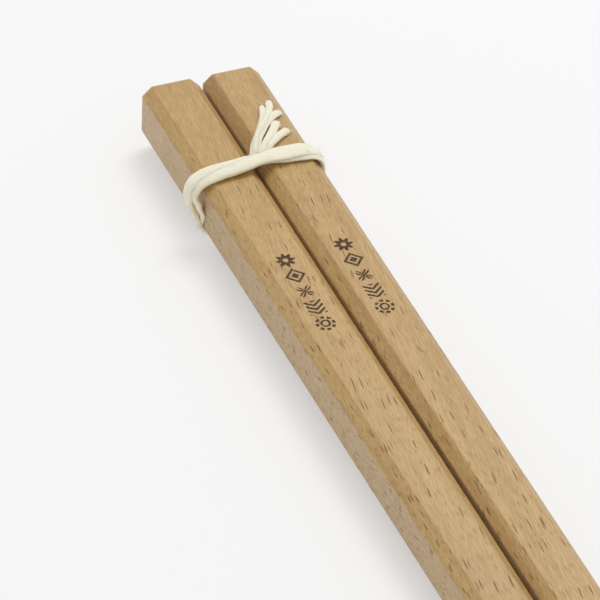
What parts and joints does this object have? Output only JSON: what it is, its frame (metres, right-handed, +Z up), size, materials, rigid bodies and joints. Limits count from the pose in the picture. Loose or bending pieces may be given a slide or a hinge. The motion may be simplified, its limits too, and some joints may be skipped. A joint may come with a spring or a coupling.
{
  "type": "pair of wooden chopsticks",
  "caption": "Square tapered wooden eating sticks with chamfered edges, lying side by side and tied near the butt with a soft cotton cord whose cut end is frayed.",
  "frame": {"origin": "on the surface the pair rests on, midway between the sticks and halfway along them", "axes": "+X along the sticks towards the tips, +Y across the pair towards the right stick, +Z up"},
  "size_m": [0.23, 0.0206, 0.0113],
  "materials": {
    "stick_wood": "fine sanded, unlacquered close-grained wood with short dark flecks",
    "cotton_cord": "soft, loosely twisted undyed cotton"
  },
  "bodies": {
    "root": {"left_chopstick": "stick_wood", "right_chopstick": "stick_wood", "tie_cord": "cotton_cord"}
  },
  "joints": []
}
